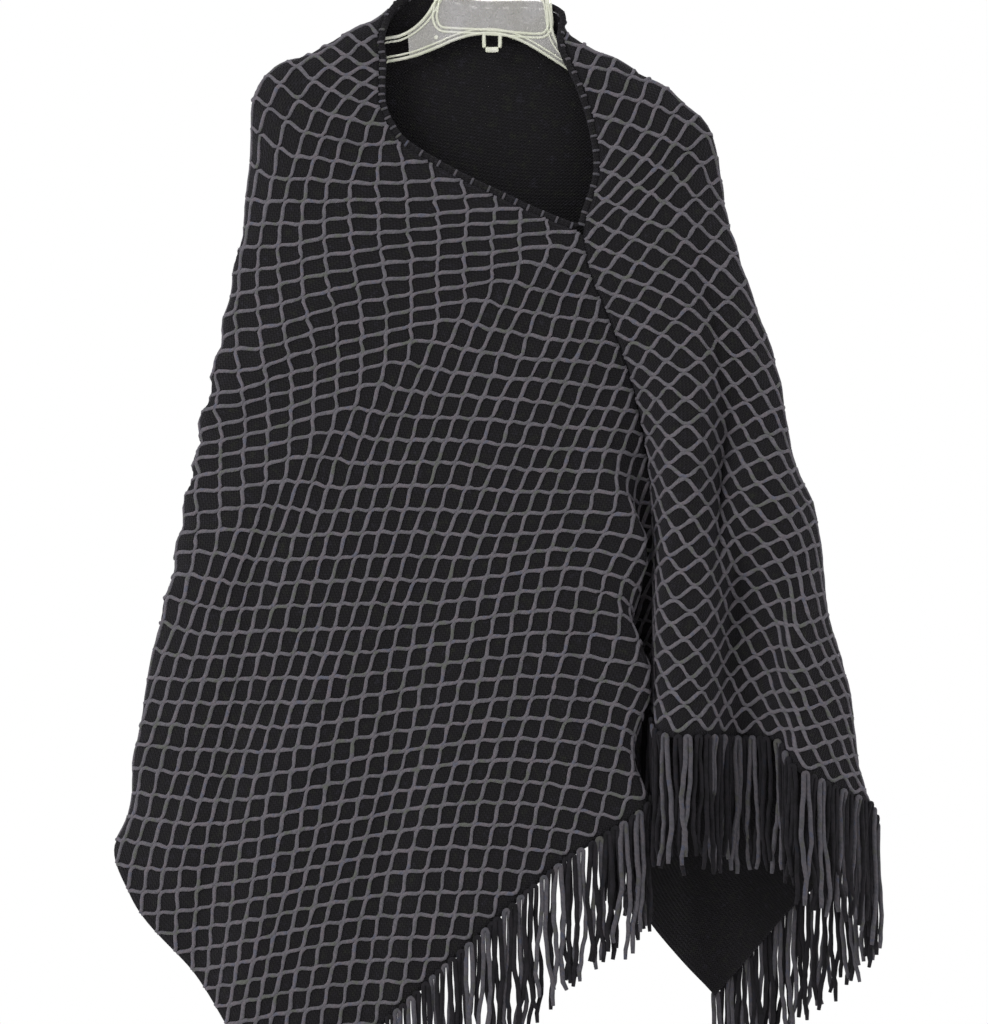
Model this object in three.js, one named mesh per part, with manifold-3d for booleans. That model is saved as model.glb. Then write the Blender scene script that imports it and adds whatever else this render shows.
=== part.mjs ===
// Fringed cape on a clear hanger. Millimetres, +Z up, front towards -Y.
// The origin is where the hanger's hook bears on whatever holds it.
//
// The cape is one knitted rectangle. Its knitting rows run across the narrow way, from the seam or neck
// edge to the free edge, and they are counted from the fringed front end (row 0), over the shoulder
// (row 34), to the fringed back end (row 68). Rows 0 to 20 are sewn to rows 68 to 48 along the seam, and
// rows 20 to 48 go round the neck. Each half is built as two stretches, so that its collision hulls stay
// close to the bending wall.
import * as THREE from 'three';
import Module from 'manifold-3d';
import { mergeVertices } from 'three/addons/utils/BufferGeometryUtils.js';

const wasm = await Module();
wasm.setup();

const rowsInAll = 68;
const shoulderRow = 34;
const neckRow = 20;
const frontPartRow = 17;
const backPartRow = 50;
const rowPitch = 24.5;
const rowSlack = 0.01;
const stepsAcross = 30;
const samplesOnRow = 400;
const wall = 3;
const seamGap = 0.3;
const seamEase = 7;

const rollRadius = 3.2;
const rollSides = 6;
const rollSteps = 55;
const rollGap = 1.5;

const strandsPerEnd = 100;
const strandRadius = 1.5;
const strandSteps = 2;
const stripWidth = 5;
const stripGap = 0.6;
const seamEndTrim = 0.3;
const fringeLength = 118;
const fringeUneven = 12;

const hangerThickness = 5;
const hangerBevel = 0.8;
const wireRadius = 1.7;
const hookRadius = 21.7;

// Where each row lies: from the seam or neck edge, over the folds, to the free edge, as [x, y, z].
const rowTable = [
  { row: 0, path: [[148, 44, -746], [125, 62, -769], [99, 44, -797], [104, 10, -820],
    [136, -29, -840], [55, -42, -897], [-7, -45, -950], [-99, -46, -1035], [-208, -34, -1134]] },
  { row: 4, path: [[146, 30, -654], [132, 44, -670], [114, 34, -691], [117, 6, -708],
    [138, -24, -718], [77, -38, -755], [-19, -44, -827], [-111, -46, -916], [-194, -40, -1003],
    [-252, -18, -1073]] },
  { row: 8, path: [[143, 12, -560], [131, 14, -573], [127, -4, -585], [134, -25, -596],
    [69, -38, -630], [-19, -43, -711], [-110, -46, -800], [-201, -42, -895], [-256, -28, -957],
    [-295, -6, -1007]] },
  { row: 12, path: [[131, -6, -473], [86, -28, -507], [-16, -38, -589], [-90, -41, -655],
    [-182, -41, -749], [-271, -32, -844], [-317, -18, -889], [-358, 4, -933]] },
  { row: 14, path: [[121, -12, -432], [44, -32, -487], [-37, -38, -549], [-112, -40, -615],
    [-181, -38, -687], [-250, -30, -758], [-319, -14, -827], [-359, 4, -867], [-374, 14, -885]] },
  { row: 16, path: [[103, -16, -386], [49, -30, -425], [-7, -34, -465], [-61, -37, -507],
    [-159, -38, -601], [-227, -34, -670], [-274, -26, -720], [-320, -12, -763], [-353, 6, -796],
    [-350, 22, -826], [-337, 28, -848]] },
  { row: 17, path: [[95, -17, -364], [44, -30, -405], [-28, -35, -453], [-99, -37, -512],
    [-170, -36, -581], [-230, -32, -643], [-285, -22, -701], [-325, -8, -738], [-347, 5, -763],
    [-344, 22, -797], [-326, 31, -834]] },
  { row: 18, path: [[85, -18, -342], [-3, -32, -405], [-83, -36, -467], [-158, -35, -539],
    [-229, -30, -609], [-298, -16, -682], [-340, 4, -727], [-338, 22, -768], [-318, 32, -818]] },
  { row: 19, path: [[80, -18, -321], [15, -29, -364], [-55, -34, -415], [-120, -36, -470],
    [-182, -34, -527], [-229, -30, -579], [-277, -22, -628], [-312, -8, -663], [-333, 6, -688],
    [-329, 22, -730], [-304, 33, -792]] },
  { row: 20, path: [[76, -18, -300], [32, -26, -323], [-29, -32, -364], [-83, -34, -405],
    [-135, -35, -450], [-182, -34, -498], [-230, -29, -548], [-276, -18, -594], [-307, -8, -623],
    [-325, 6, -646], [-319, 22, -687], [-295, 33, -741], [-279, 35, -769]] },
  { row: 21, path: [[48, -18, -287], [0, -27, -316], [-58, -32, -356], [-110, -33, -398],
    [-160, -32, -444], [-206, -29, -490], [-254, -20, -536], [-290, -7, -573], [-314, 7, -597],
    [-306, 25, -651], [-279, 34, -715], [-256, 36, -759]] },
  { row: 22, path: [[22, -18, -276], [-32, -27, -308], [-88, -31, -348], [-137, -31, -392],
    [-184, -28, -438], [-230, -20, -483], [-279, -6, -525], [-305, 8, -548], [-295, 28, -610],
    [-229, 39, -752]] },
  { row: 23, path: [[-1, -18, -265], [-52, -27, -293], [-106, -30, -329], [-154, -30, -370],
    [-198, -26, -418], [-244, -15, -464], [-277, -3, -494], [-297, 8, -512], [-287, 28, -573],
    [-258, 36, -649], [-192, 40, -749]] },
  { row: 24, path: [[-33, -18, -250], [-71, -25, -277], [-124, -29, -309], [-171, -28, -348],
    [-212, -24, -397], [-260, -9, -447], [-290, 7, -472], [-280, 28, -533], [-237, 38, -630],
    [-154, 41, -746]] },
  { row: 25, path: [[-63, -18, -234], [-92, -24, -257], [-141, -27, -287], [-187, -24, -327],
    [-230, -14, -375], [-259, -2, -403], [-279, 7, -425], [-269, 28, -488], [-222, 38, -600],
    [-128, 42, -742]] },
  { row: 26, path: [[-95, -18, -214], [-114, -22, -237], [-158, -24, -266], [-203, -18, -307],
    [-246, -4, -354], [-268, 8, -381], [-257, 28, -445], [-206, 38, -571], [-101, 43, -736]] },
  { row: 27.2, path: [[-111, -17, -194], [-134, -22, -214], [-178, -21, -241], [-214, -13, -273],
    [-242, -2, -303], [-258, 8, -327], [-248, 27, -392], [-193, 38, -532], [-83, 45, -725]] },
  { row: 28.4, path: [[-119, -16, -174], [-157, -22, -191], [-197, -17, -218], [-226, -6, -243],
    [-246, 8, -269], [-238, 26, -339], [-180, 38, -494], [-67, 46, -712]] },
  { row: 29.6, path: [[-120, -14, -154], [-157, -18, -162], [-190, -17, -174], [-216, -10, -178],
    [-236, 2, -186], [-241, 14, -215], [-228, 28, -305], [-174, 38, -465], [-62, 46, -676]] },
  { row: 31, path: [[-119, -12, -133], [-152, -13, -133], [-186, -9, -132], [-214, 0, -136],
    [-233, 10, -153], [-236, 17, -178], [-215, 28, -271], [-159, 38, -435], [-52, 46, -649]] },
  { row: 32.5, path: [[-119, -9, -102], [-134, -7, -100], [-154, 0, -107], [-173, 11, -123],
    [-187, 21, -170], [-177, 32, -300], [-128, 41, -474], [-39, 49, -657]] },
  { row: 33.2, path: [[-111, 1, -84], [-125, 4, -94], [-146, 10, -111], [-158, 16, -137],
    [-165, 23, -185], [-157, 33, -300], [-111, 42, -469], [-29, 50, -661]] },
  { row: 34, path: [[-92, 9, -71], [-110, 13, -91], [-125, 18, -129], [-133, 24, -180],
    [-130, 33, -300], [-91, 42, -464], [-20, 51, -665]] },
  { row: 36.5, path: [[-25, 10, -78], [-42, 14, -103], [-55, 19, -142], [-60, 25, -214],
    [-55, 36, -358], [-31, 46, -532], [-4, 54, -706]] },
  { row: 39, path: [[52, 4, -86], [35, 17, -126], [19, 25, -204], [12, 34, -319], [11, 46, -474],
    [14, 54, -630], [18, 59, -728]] },
  { row: 40.5, path: [[58, -9, -119], [70, -2, -114], [85, 8, -123], [68, 23, -214], [50, 38, -358],
    [35, 50, -513], [26, 60, -718]] },
  { row: 42, path: [[74, -16, -154], [90, -11, -142], [108, 0, -132], [122, 13, -143],
    [105, 30, -281], [72, 46, -445], [51, 58, -610], [41, 64, -738]] },
  { row: 43.5, path: [[86, -17, -190], [103, -19, -180], [126, -14, -167], [146, -1, -153],
    [161, 12, -163], [151, 26, -252], [113, 42, -406], [76, 58, -610], [51, 66, -738]] },
  { row: 45, path: [[92, -18, -230], [114, -24, -218], [143, -22, -203], [170, -9, -188],
    [191, 5, -189], [193, 20, -233], [148, 38, -367], [101, 52, -503], [74, 62, -640],
    [63, 68, -738]] },
  { row: 48, path: [[76, -18, -300], [105, -26, -291], [132, -30, -282], [161, -27, -273],
    [188, -14, -270], [210, 4, -274], [210, 18, -311], [195, 30, -368], [157, 48, -484],
    [115, 60, -620], [84, 72, -782]] },
  { row: 53, path: [[112, -12, -409], [134, -26, -404], [156, -36, -401], [176, -40, -400],
    [192, -31, -403], [202, -21, -405], [213, -24, -408], [235, -22, -415], [254, -8, -424],
    [263, 8, -437], [250, 32, -494], [192, 60, -640], [106, 79, -861]] },
  { row: 58, path: [[138, 2, -515], [146, -20, -520], [159, -42, -524], [176, -46, -525],
    [192, -32, -526], [202, -16, -528], [208, -4, -530], [214, -14, -532], [224, -28, -536],
    [237, -38, -541], [252, -41, -545], [268, -36, -551], [283, -20, -558], [297, 0, -568],
    [300, 18, -598], [276, 42, -670], [207, 66, -796], [122, 83, -917]] },
  { row: 63, path: [[145, 24, -629], [146, -6, -640], [152, -38, -649], [167, -48, -652],
    [183, -46, -652], [198, -30, -652], [208, -12, -652], [219, 6, -653], [232, 0, -654],
    [243, -10, -656], [254, -18, -660], [264, -26, -666], [270, -34, -680], [277, -41, -692],
    [285, -38, -696], [297, -28, -704], [314, -12, -714], [328, 6, -729], [330, 22, -757],
    [300, 46, -814], [231, 70, -894], [144, 86, -967]] },
  { row: 68, path: [[148, 44, -746], [145, 8, -760], [148, -36, -773], [159, -49, -777],
    [176, -50, -777], [196, -36, -778], [206, -18, -779], [221, 4, -781], [235, 4, -781],
    [247, -6, -781], [259, -14, -782], [267, -20, -785], [272, -32, -797], [278, -42, -809],
    [286, -40, -813], [311, -26, -826], [333, -12, -836], [350, 2, -846], [357, 16, -870],
    [332, 42, -902], [280, 62, -952], [207, 80, -1038]] },
];

// Shallow creases: x at height z = midHeight, lean is x per z, depth is outward at fullHeight and below.
const creases = [
  { side: -1, x: -190, lean: 0.28, width: 30, depth: 6, midHeight: -800, start: -520, full: -860 },
  { side: -1, x: -105, lean: 0.12, width: 26, depth: -6, midHeight: -800, start: -480, full: -840 },
  { side: -1, x: -20, lean: 0.05, width: 34, depth: 5, midHeight: -700, start: -380, full: -760 },
  { side: -1, x: 70, lean: -0.05, width: 24, depth: -4, midHeight: -600, start: -360, full: -640 },
  { side: 1, x: -190, lean: -0.2, width: 26, depth: 9, midHeight: -600, start: -300, full: -640 },
  { side: 1, x: -105, lean: -0.12, width: 24, depth: -8, midHeight: -600, start: -260, full: -620 },
  { side: 1, x: -30, lean: -0.04, width: 26, depth: 12, midHeight: -600, start: -220, full: -600 },
  { side: 1, x: 42, lean: 0.05, width: 24, depth: -10, midHeight: -620, start: -260, full: -680 },
  { side: 1, x: 118, lean: -0.06, width: 28, depth: 15, midHeight: -700, start: -330, full: -800 },
  { side: 1, x: 205, lean: -0.14, width: 26, depth: -9, midHeight: -760, start: -420, full: -860 },
];
const sideBlend = 26;

const between = (a, b, q) => a + (b - a) * q;
const smooth = (q) => {
  const c = Math.min(1, Math.max(0, q));
  return c * c * (3 - 2 * c);
};

// A smooth curve through points at uneven knots. Each tangent is the mean of its two slopes, weighted by
// the other side's length.
function curveThrough(knots, points) {
  const last = knots.length - 1;
  const slope = (i, k) => (points[i + 1][k] - points[i][k]) / (knots[i + 1] - knots[i]);
  const tangents = points.map((point, i) => point.map((value, k) => {
    if (i === 0) return slope(0, k);
    if (i === last) return slope(last - 1, k);
    const before = knots[i] - knots[i - 1];
    const after = knots[i + 1] - knots[i];
    return (slope(i - 1, k) * after + slope(i, k) * before) / (before + after);
  }));
  return (at) => {
    let i = 0;
    while (i < last - 1 && knots[i + 1] <= at) i += 1;
    const span = knots[i + 1] - knots[i];
    const u = (at - knots[i]) / span;
    return points[i].map((value, k) => (1 + 2 * u) * (1 - u) ** 2 * value
      + u * (1 - u) ** 2 * span * tangents[i][k]
      + u * u * (3 - 2 * u) * points[i + 1][k]
      + u * u * (u - 1) * span * tangents[i + 1][k]);
  };
}

const distance = (a, b) => Math.hypot(a[0] - b[0], a[1] - b[1], a[2] - b[2]);

// A row is laid along its path with its stitches evenly spaced.
function layRow(path) {
  const knots = [0];
  for (let i = 1; i < path.length; i += 1) {
    knots.push(knots[i - 1] + Math.sqrt(distance(path[i - 1], path[i])));
  }
  const curve = curveThrough(knots, path);
  const samples = Array.from({ length: samplesOnRow }, (_, i) => (
    curve(knots[knots.length - 1] * i / (samplesOnRow - 1))));
  const lengths = [0];
  for (let i = 1; i < samplesOnRow; i += 1) {
    lengths.push(lengths[i - 1] + distance(samples[i - 1], samples[i]));
  }
  const total = lengths[samplesOnRow - 1];
  let i = 0;
  return Array.from({ length: stepsAcross + 1 }, (_, j) => {
    const target = total * j / stepsAcross;
    while (i < samplesOnRow - 2 && lengths[i + 1] < target) i += 1;
    const q = (target - lengths[i]) / (lengths[i + 1] - lengths[i]);
    return samples[i].map((value, k) => between(value, samples[i + 1][k], q));
  });
}

// The creases push a point in or out, less where the cloth turns round its side.
function crease([x, y, z]) {
  const side = Math.sign(y) || 1;
  let push = 0;
  for (const c of creases.filter((one) => one.side === side)) {
    const off = (x - c.x - c.lean * (z - c.midHeight)) / c.width;
    push += c.depth * Math.exp(-off * off) * smooth((c.start - z) / (c.start - c.full));
  }
  return [x, y + side * push * smooth(Math.abs(y) / sideBlend), z];
}

const laid = rowTable.map(({ path }) => layRow(path));
const columns = Array.from({ length: stepsAcross + 1 }, (_, j) => (
  curveThrough(rowTable.map(({ row }) => row), laid.map((points) => points[j]))));
const isSewn = (row) => row <= neckRow + rowSlack || row >= rowsInAll - neckRow - rowSlack;
const looseRow = (row) => columns.map((column) => new THREE.Vector3(...crease(column(row))));

// The points of one row. Where two rows are sewn together, both are drawn to the middle of their ends.
function rowAt(row) {
  const points = looseRow(row);
  if (!isSewn(row)) return points;
  const facing = columns[0](rowsInAll - row);
  const pull = new THREE.Vector3(...crease(facing)).sub(points[0]).multiplyScalar(0.5);
  return points.map((p, j) => p.addScaledVector(pull, 1 - smooth(j / seamEase)));
}

// Unit normals out of the cloth along one row, from the rows on its two sides.
function normalsAt(row) {
  const step = 0.25;
  const before = rowAt(Math.max(0, row - step));
  const after = rowAt(Math.min(rowsInAll, row + step));
  const here = rowAt(row);
  return here.map((point, j) => {
    const along = after[j].clone().sub(before[j]);
    const across = here[Math.min(stepsAcross, j + 1)].clone().sub(here[Math.max(0, j - 1)]);
    return along.cross(across).normalize();
  });
}

// A closed wall between two grids of points, outer and inner, each a list of rows.
function wallBetween(outer, inner) {
  const rows = outer.length;
  const width = outer[0].length;
  const positions = [...outer, ...inner].flat().flatMap((p) => [p.x, p.y, p.z]);
  const at = (i, j, face) => face * rows * width + i * width + j;
  const index = [];
  const quad = (a, b, c, d) => index.push(a, b, c, a, c, d);
  for (let i = 0; i < rows - 1; i += 1) {
    for (let j = 0; j < width - 1; j += 1) {
      quad(at(i, j, 0), at(i + 1, j, 0), at(i + 1, j + 1, 0), at(i, j + 1, 0));
      quad(at(i, j, 1), at(i, j + 1, 1), at(i + 1, j + 1, 1), at(i + 1, j, 1));
    }
    quad(at(i, 0, 0), at(i, 0, 1), at(i + 1, 0, 1), at(i + 1, 0, 0));
    quad(at(i, width - 1, 0), at(i + 1, width - 1, 0), at(i + 1, width - 1, 1), at(i, width - 1, 1));
  }
  for (let j = 0; j < width - 1; j += 1) {
    quad(at(0, j, 0), at(0, j + 1, 0), at(0, j + 1, 1), at(0, j, 1));
    quad(at(rows - 1, j, 0), at(rows - 1, j, 1), at(rows - 1, j + 1, 1), at(rows - 1, j + 1, 0));
  }
  const geometry = new THREE.BufferGeometry();
  geometry.setAttribute('position', new THREE.Float32BufferAttribute(positions, 3));
  geometry.setIndex(index);
  return geometry;
}

// At the seam both halves are cut along the plane midway between them, half a gap short of it.
function mitre(points, normals, row, face) {
  const seamDirection = rowAt(row + (row < rowsInAll / 2 ? 0.25 : -0.25))[0].sub(points[0]).normalize();
  const flat = (v) => v.addScaledVector(seamDirection, -v.dot(seamDirection)).normalize();
  const mine = flat(points[1].clone().sub(points[0]));
  const facing = rowAt(rowsInAll - row);
  const other = flat(facing[1].sub(facing[0]));
  const plane = mine.clone().sub(other).normalize();
  const corner = points[0].clone().addScaledVector(normals[0], face * wall / 2);
  const shift = (seamGap / 2 - corner.sub(points[0]).dot(plane)) / mine.dot(plane);
  return points[0].clone().addScaledVector(normals[0], face * wall / 2).addScaledVector(mine, shift);
}

// A stretch of cloth between two rows, half a gap short of each that meets another stretch.
function clothStretch(fromRow, toRow) {
  const count = Math.round(toRow - fromRow);
  const rows = Array.from({ length: count + 1 }, (_, i) => between(fromRow, toRow, i / count));
  const face = (side) => rows.map((row) => {
    const points = rowAt(row);
    const normals = normalsAt(row);
    const moved = points.map((p, j) => p.clone().addScaledVector(normals[j], side * wall / 2));
    if (isSewn(row)) moved[0] = mitre(points, normals, row, side);
    return moved;
  });
  return wallBetween(face(1), face(-1));
}

// One ring of the neck roll, square to the neck edge and just past it.
function rollRing(row) {
  const points = rowAt(row);
  const edge = rowAt(row + 0.25)[0].sub(rowAt(row - 0.25)[0]).normalize();
  const outward = points[0].clone().sub(points[1]);
  outward.addScaledVector(edge, -outward.dot(edge)).normalize();
  const centre = points[0].clone().addScaledVector(outward, rollRadius + rollGap);
  return { centre, outward, normal: normalsAt(row)[0] };
}

// The neck roll: a knitted tube just past the neck edge, closed by one wide ring at the point of the V.
function neckRoll() {
  const frames = Array.from({ length: rollSteps }, (_, i) => (
    rollRing(neckRow + 0.5 + (rowsInAll - 2 * neckRow - 1) * i / (rollSteps - 1))));
  const rings = frames.map(({ centre, outward, normal }) => Array.from({ length: rollSides }, (_, k) => {
    const angle = 2 * Math.PI * k / rollSides;
    return centre.clone().addScaledVector(outward, rollRadius * Math.cos(angle))
      .addScaledVector(normal, rollRadius * Math.sin(angle));
  }));
  const index = [];
  for (let i = 0; i < rollSteps; i += 1) {
    for (let k = 0; k < rollSides; k += 1) {
      const next = (i + 1) % rollSteps;
      const turn = (k + 1) % rollSides;
      const [a, b] = [i * rollSides + k, i * rollSides + turn];
      const [c, d] = [next * rollSides + turn, next * rollSides + k];
      index.push(a, c, b, a, d, c);
    }
  }
  const geometry = new THREE.BufferGeometry();
  const positions = rings.flat().flatMap((p) => [p.x, p.y, p.z]);
  geometry.setAttribute('position', new THREE.Float32BufferAttribute(positions, 3));
  geometry.setIndex(index);
  return geometry;
}

function toSolid(geometry) {
  const bare = geometry.clone();
  bare.deleteAttribute('normal');
  bare.deleteAttribute('uv');
  const merged = mergeVertices(bare, 1e-4);
  return new wasm.Manifold(new wasm.Mesh({
    numProp: 3,
    vertProperties: new Float32Array(merged.attributes.position.array),
    triVerts: new Uint32Array(merged.index.array),
  }));
}

function toGeometry(solid) {
  const mesh = solid.getMesh();
  const geometry = new THREE.BufferGeometry();
  geometry.setAttribute('position', new THREE.BufferAttribute(new Float32Array(mesh.vertProperties), 3));
  geometry.setIndex(new THREE.BufferAttribute(new Uint32Array(mesh.triVerts), 1));
  return geometry;
}

// A strand of three sides hangs straight down from its root, with a slight sway.
function strand(root, outward, length, sway) {
  const rings = Array.from({ length: strandSteps + 1 }, (_, i) => {
    const q = i / strandSteps;
    const centre = root.clone().addScaledVector(outward, 3 * Math.min(1, 4 * q));
    centre.z -= length * q;
    centre.x += sway * q * q;
    return Array.from({ length: 3 }, (_, k) => {
      const angle = 2 * Math.PI * k / 3;
      return centre.clone().add(new THREE.Vector3(
        strandRadius * Math.cos(angle), strandRadius * Math.sin(angle), 0));
    });
  });
  const index = [0, 1, 2];
  for (let i = 0; i < strandSteps; i += 1) {
    for (let k = 0; k < 3; k += 1) {
      const turn = (k + 1) % 3;
      const [a, b] = [3 * i + k, 3 * i + turn];
      const [c, d] = [3 * (i + 1) + turn, 3 * (i + 1) + k];
      index.push(a, c, b, a, d, c);
    }
  }
  const end = 3 * strandSteps;
  index.push(end, end + 2, end + 1);
  const geometry = new THREE.BufferGeometry();
  const positions = rings.flat().flatMap((p) => [p.x, p.y, p.z]);
  geometry.setAttribute('position', new THREE.Float32BufferAttribute(positions, 3));
  geometry.setIndex(index);
  return geometry;
}

// A fringed end: a knitted strip just past the cloth's end row, and the strands fused into it.
function fringe(endRow) {
  const points = rowAt(endRow);
  const inside = rowAt(endRow === 0 ? 0.5 : rowsInAll - 0.5);
  const normals = normalsAt(endRow);
  const outward = points.map((p, j) => p.clone().sub(inside[j]).normalize());
  points[0].lerp(points[1], seamEndTrim);
  const edge = (past, side) => points.map((p, j) => p.clone().addScaledVector(outward[j], past)
    .addScaledVector(normals[j], side * wall / 2));
  const near = stripGap;
  const far = stripGap + stripWidth;
  const order = endRow === 0 ? [far, near] : [near, far];
  const strip = wallBetween(order.map((past) => edge(past, 1)), order.map((past) => edge(past, -1)));
  const strands = Array.from({ length: strandsPerEnd }, (_, i) => {
    const at = stepsAcross * (i + 0.5) / strandsPerEnd;
    const j = Math.floor(at);
    const away = outward[j].clone().lerp(outward[j + 1], at - j);
    const root = points[j].clone().lerp(points[j + 1], at - j)
      .addScaledVector(away, stripGap + stripWidth * 0.55);
    const length = fringeLength + fringeUneven * Math.sin(2.4 * i) * Math.cos(0.7 * i);
    return strand(root, away, length, 4 * Math.sin(0.5 * i));
  });
  return toGeometry(wasm.Manifold.union([strip, ...strands].map(toSolid)));
}

// The hanger's flat moulded body: its outline from the left tip along the top, then back underneath.
const hangerTop = [
  [-224.4, -175.8], [-219, -166], [-204, -148], [-180, -138], [-140, -116], [-116, -109], [-100, -106],
  [-86, -99], [-74, -87], [-66, -76], [-58, -67], [34, -68], [38, -87], [42, -99], [56, -118], [76, -129],
  [92, -136], [108, -145], [124, -155], [148, -168], [164.4, -176.6], [171.3, -185.7], [178, -198],
];
const hangerUnder = [
  [174, -206], [150, -191], [108, -170], [60, -144], [36, -120], [10, -108], [-14, -105],
  [-40, -108], [-70, -118], [-115, -134], [-170, -160], [-205, -177], [-216, -184],
];
const centreLoop = { x: -12, top: -108, width: 22, height: 19, bar: 3.4 };

function hangerBody() {
  const shape = new THREE.Shape([...hangerTop, ...hangerUnder].map(([x, z]) => new THREE.Vector2(x, z)));
  const geometry = new THREE.ExtrudeGeometry(shape, {
    depth: hangerThickness - 2 * hangerBevel,
    bevelEnabled: true,
    bevelThickness: hangerBevel,
    bevelSize: hangerBevel,
    bevelOffset: -hangerBevel,
    bevelSegments: 1,
  });
  geometry.translate(0, 0, hangerBevel - hangerThickness / 2);
  geometry.rotateX(Math.PI / 2);
  const { x, top, width, height, bar } = centreLoop;
  const outline = new THREE.Shape([[-width / 2, 6], [-width / 2, -height], [width / 2, -height], [width / 2, 6]]
    .map(([across, up]) => new THREE.Vector2(x + across, top + up)));
  outline.holes.push(new THREE.Path([[-1, 0], [-1, bar - height], [1, bar - height], [1, 0]].map(([side, up]) => (
    new THREE.Vector2(x + side * (width / 2 - bar), top + up)))));
  const loop = new THREE.ExtrudeGeometry(outline, { depth: hangerThickness * 0.6, bevelEnabled: false });
  loop.translate(0, 0, -hangerThickness * 0.3);
  loop.rotateX(Math.PI / 2);
  return toGeometry(wasm.Manifold.union([geometry, loop].map(toSolid)));
}

// The hook: a stem out of the body's middle, round an open circle whose inner top is the origin.
function hangerHook() {
  const centre = new THREE.Vector3(0, 0, -(hookRadius - wireRadius));
  const arc = Array.from({ length: 13 }, (_, i) => {
    const angle = between(-50, 200, i / 12) * Math.PI / 180;
    return new THREE.Vector3(
      centre.x + hookRadius * Math.cos(angle), 0, centre.z + hookRadius * Math.sin(angle));
  });
  const stem = [[-7, -67.1], [-7, -61], [-3, -52]].map(([x, z]) => new THREE.Vector3(x, 0, z));
  const path = new THREE.CatmullRomCurve3([...stem, ...arc]);
  const circle = new THREE.Shape(Array.from({ length: 8 }, (_, k) => new THREE.Vector2(
    wireRadius * Math.cos(Math.PI * k / 4), wireRadius * Math.sin(Math.PI * k / 4))));
  return new THREE.ExtrudeGeometry(circle, { steps: 44, extrudePath: path, bevelEnabled: false });
}

const group = new THREE.Group();
function add(name, geometry, material) {
  const mesh = new THREE.Mesh(geometry, material);
  mesh.name = name;
  group.add(mesh);
}

const knit = () => new THREE.MeshStandardMaterial({ color: 0x2a272b, roughness: 0.95, metalness: 0 });
const yarn = () => new THREE.MeshStandardMaterial({ color: 0x4a464c, roughness: 0.95, metalness: 0 });
const clear = () => new THREE.MeshStandardMaterial({
  color: 0xdfe3d4, roughness: 0.15, metalness: 0, transparent: true, opacity: 0.4,
});
const steel = () => new THREE.MeshStandardMaterial({ color: 0xb9bcbe, roughness: 0.3, metalness: 1 });

const halfGap = seamGap / 2 / rowPitch;
add('front_lower', clothStretch(0, frontPartRow - halfGap), knit());
add('front_upper', clothStretch(frontPartRow + halfGap, shoulderRow - halfGap), knit());
add('back_upper', clothStretch(shoulderRow + halfGap, backPartRow - halfGap), knit());
add('back_lower', clothStretch(backPartRow + halfGap, rowsInAll), knit());
add('neck_roll', neckRoll(), knit());
add('front_fringe', fringe(0), yarn());
add('back_fringe', fringe(rowsInAll), yarn());
add('hanger_body', hangerBody(), clear());
add('hanger_hook', hangerHook(), steel());

export default group;
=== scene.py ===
# Fringed cape on a clear hanger: a folded knitted rectangle with a raised net of grey yarn.
# Metres, +Z up, front towards -Y. The origin is where the hook bears on its rail.
import bpy
import numpy as np
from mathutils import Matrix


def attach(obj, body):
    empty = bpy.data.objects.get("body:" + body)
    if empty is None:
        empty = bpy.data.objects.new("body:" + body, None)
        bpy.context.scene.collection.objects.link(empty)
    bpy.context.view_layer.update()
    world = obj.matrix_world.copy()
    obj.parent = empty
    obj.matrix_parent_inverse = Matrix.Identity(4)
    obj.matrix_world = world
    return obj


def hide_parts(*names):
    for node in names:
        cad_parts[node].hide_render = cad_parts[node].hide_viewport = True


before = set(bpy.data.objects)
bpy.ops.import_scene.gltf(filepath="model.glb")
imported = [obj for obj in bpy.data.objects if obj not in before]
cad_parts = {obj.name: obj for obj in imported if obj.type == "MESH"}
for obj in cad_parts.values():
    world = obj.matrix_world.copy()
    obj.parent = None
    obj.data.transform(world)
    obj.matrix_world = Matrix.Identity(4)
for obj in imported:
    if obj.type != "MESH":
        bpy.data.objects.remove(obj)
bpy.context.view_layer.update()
print("frame loaded")

# The cloth. Its rows run across the narrow way, from the seam or neck edge (across 0) to the free edge
# (across 1). They are counted from the fringed front end, over the shoulder, to the fringed back end.
cloth = {
    "rowsInAll": 68,
    "shoulderRow": 34,
    "neckRow": 20,        # rows 0 to 20 are sewn to rows 68 to 48
    "rowPitch": 0.0245,
    "width": 0.65,
    "wall": 0.003,
    "seamEase": 7 / 30,   # share of the width drawn towards the seam
    "rollStep": 1 / 30,   # share of the width that shows which way the neck edge faces
    "seamDip": 0.002,     # depth of the groove along the seam
    "seamDipWidth": 0.006,
    "seamDipFade": 1.5,   # rows over which it ends
    "rowStep": 0.25,      # rows to each side that give the way along
    "acrossStep": 0.006,  # share of the width to each side that gives the way across
    "columns": 240,
    "samples": 400,
    "shellRows": 170,
    "shellColumns": 130,
    "sideBlend": 0.026,
}

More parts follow.
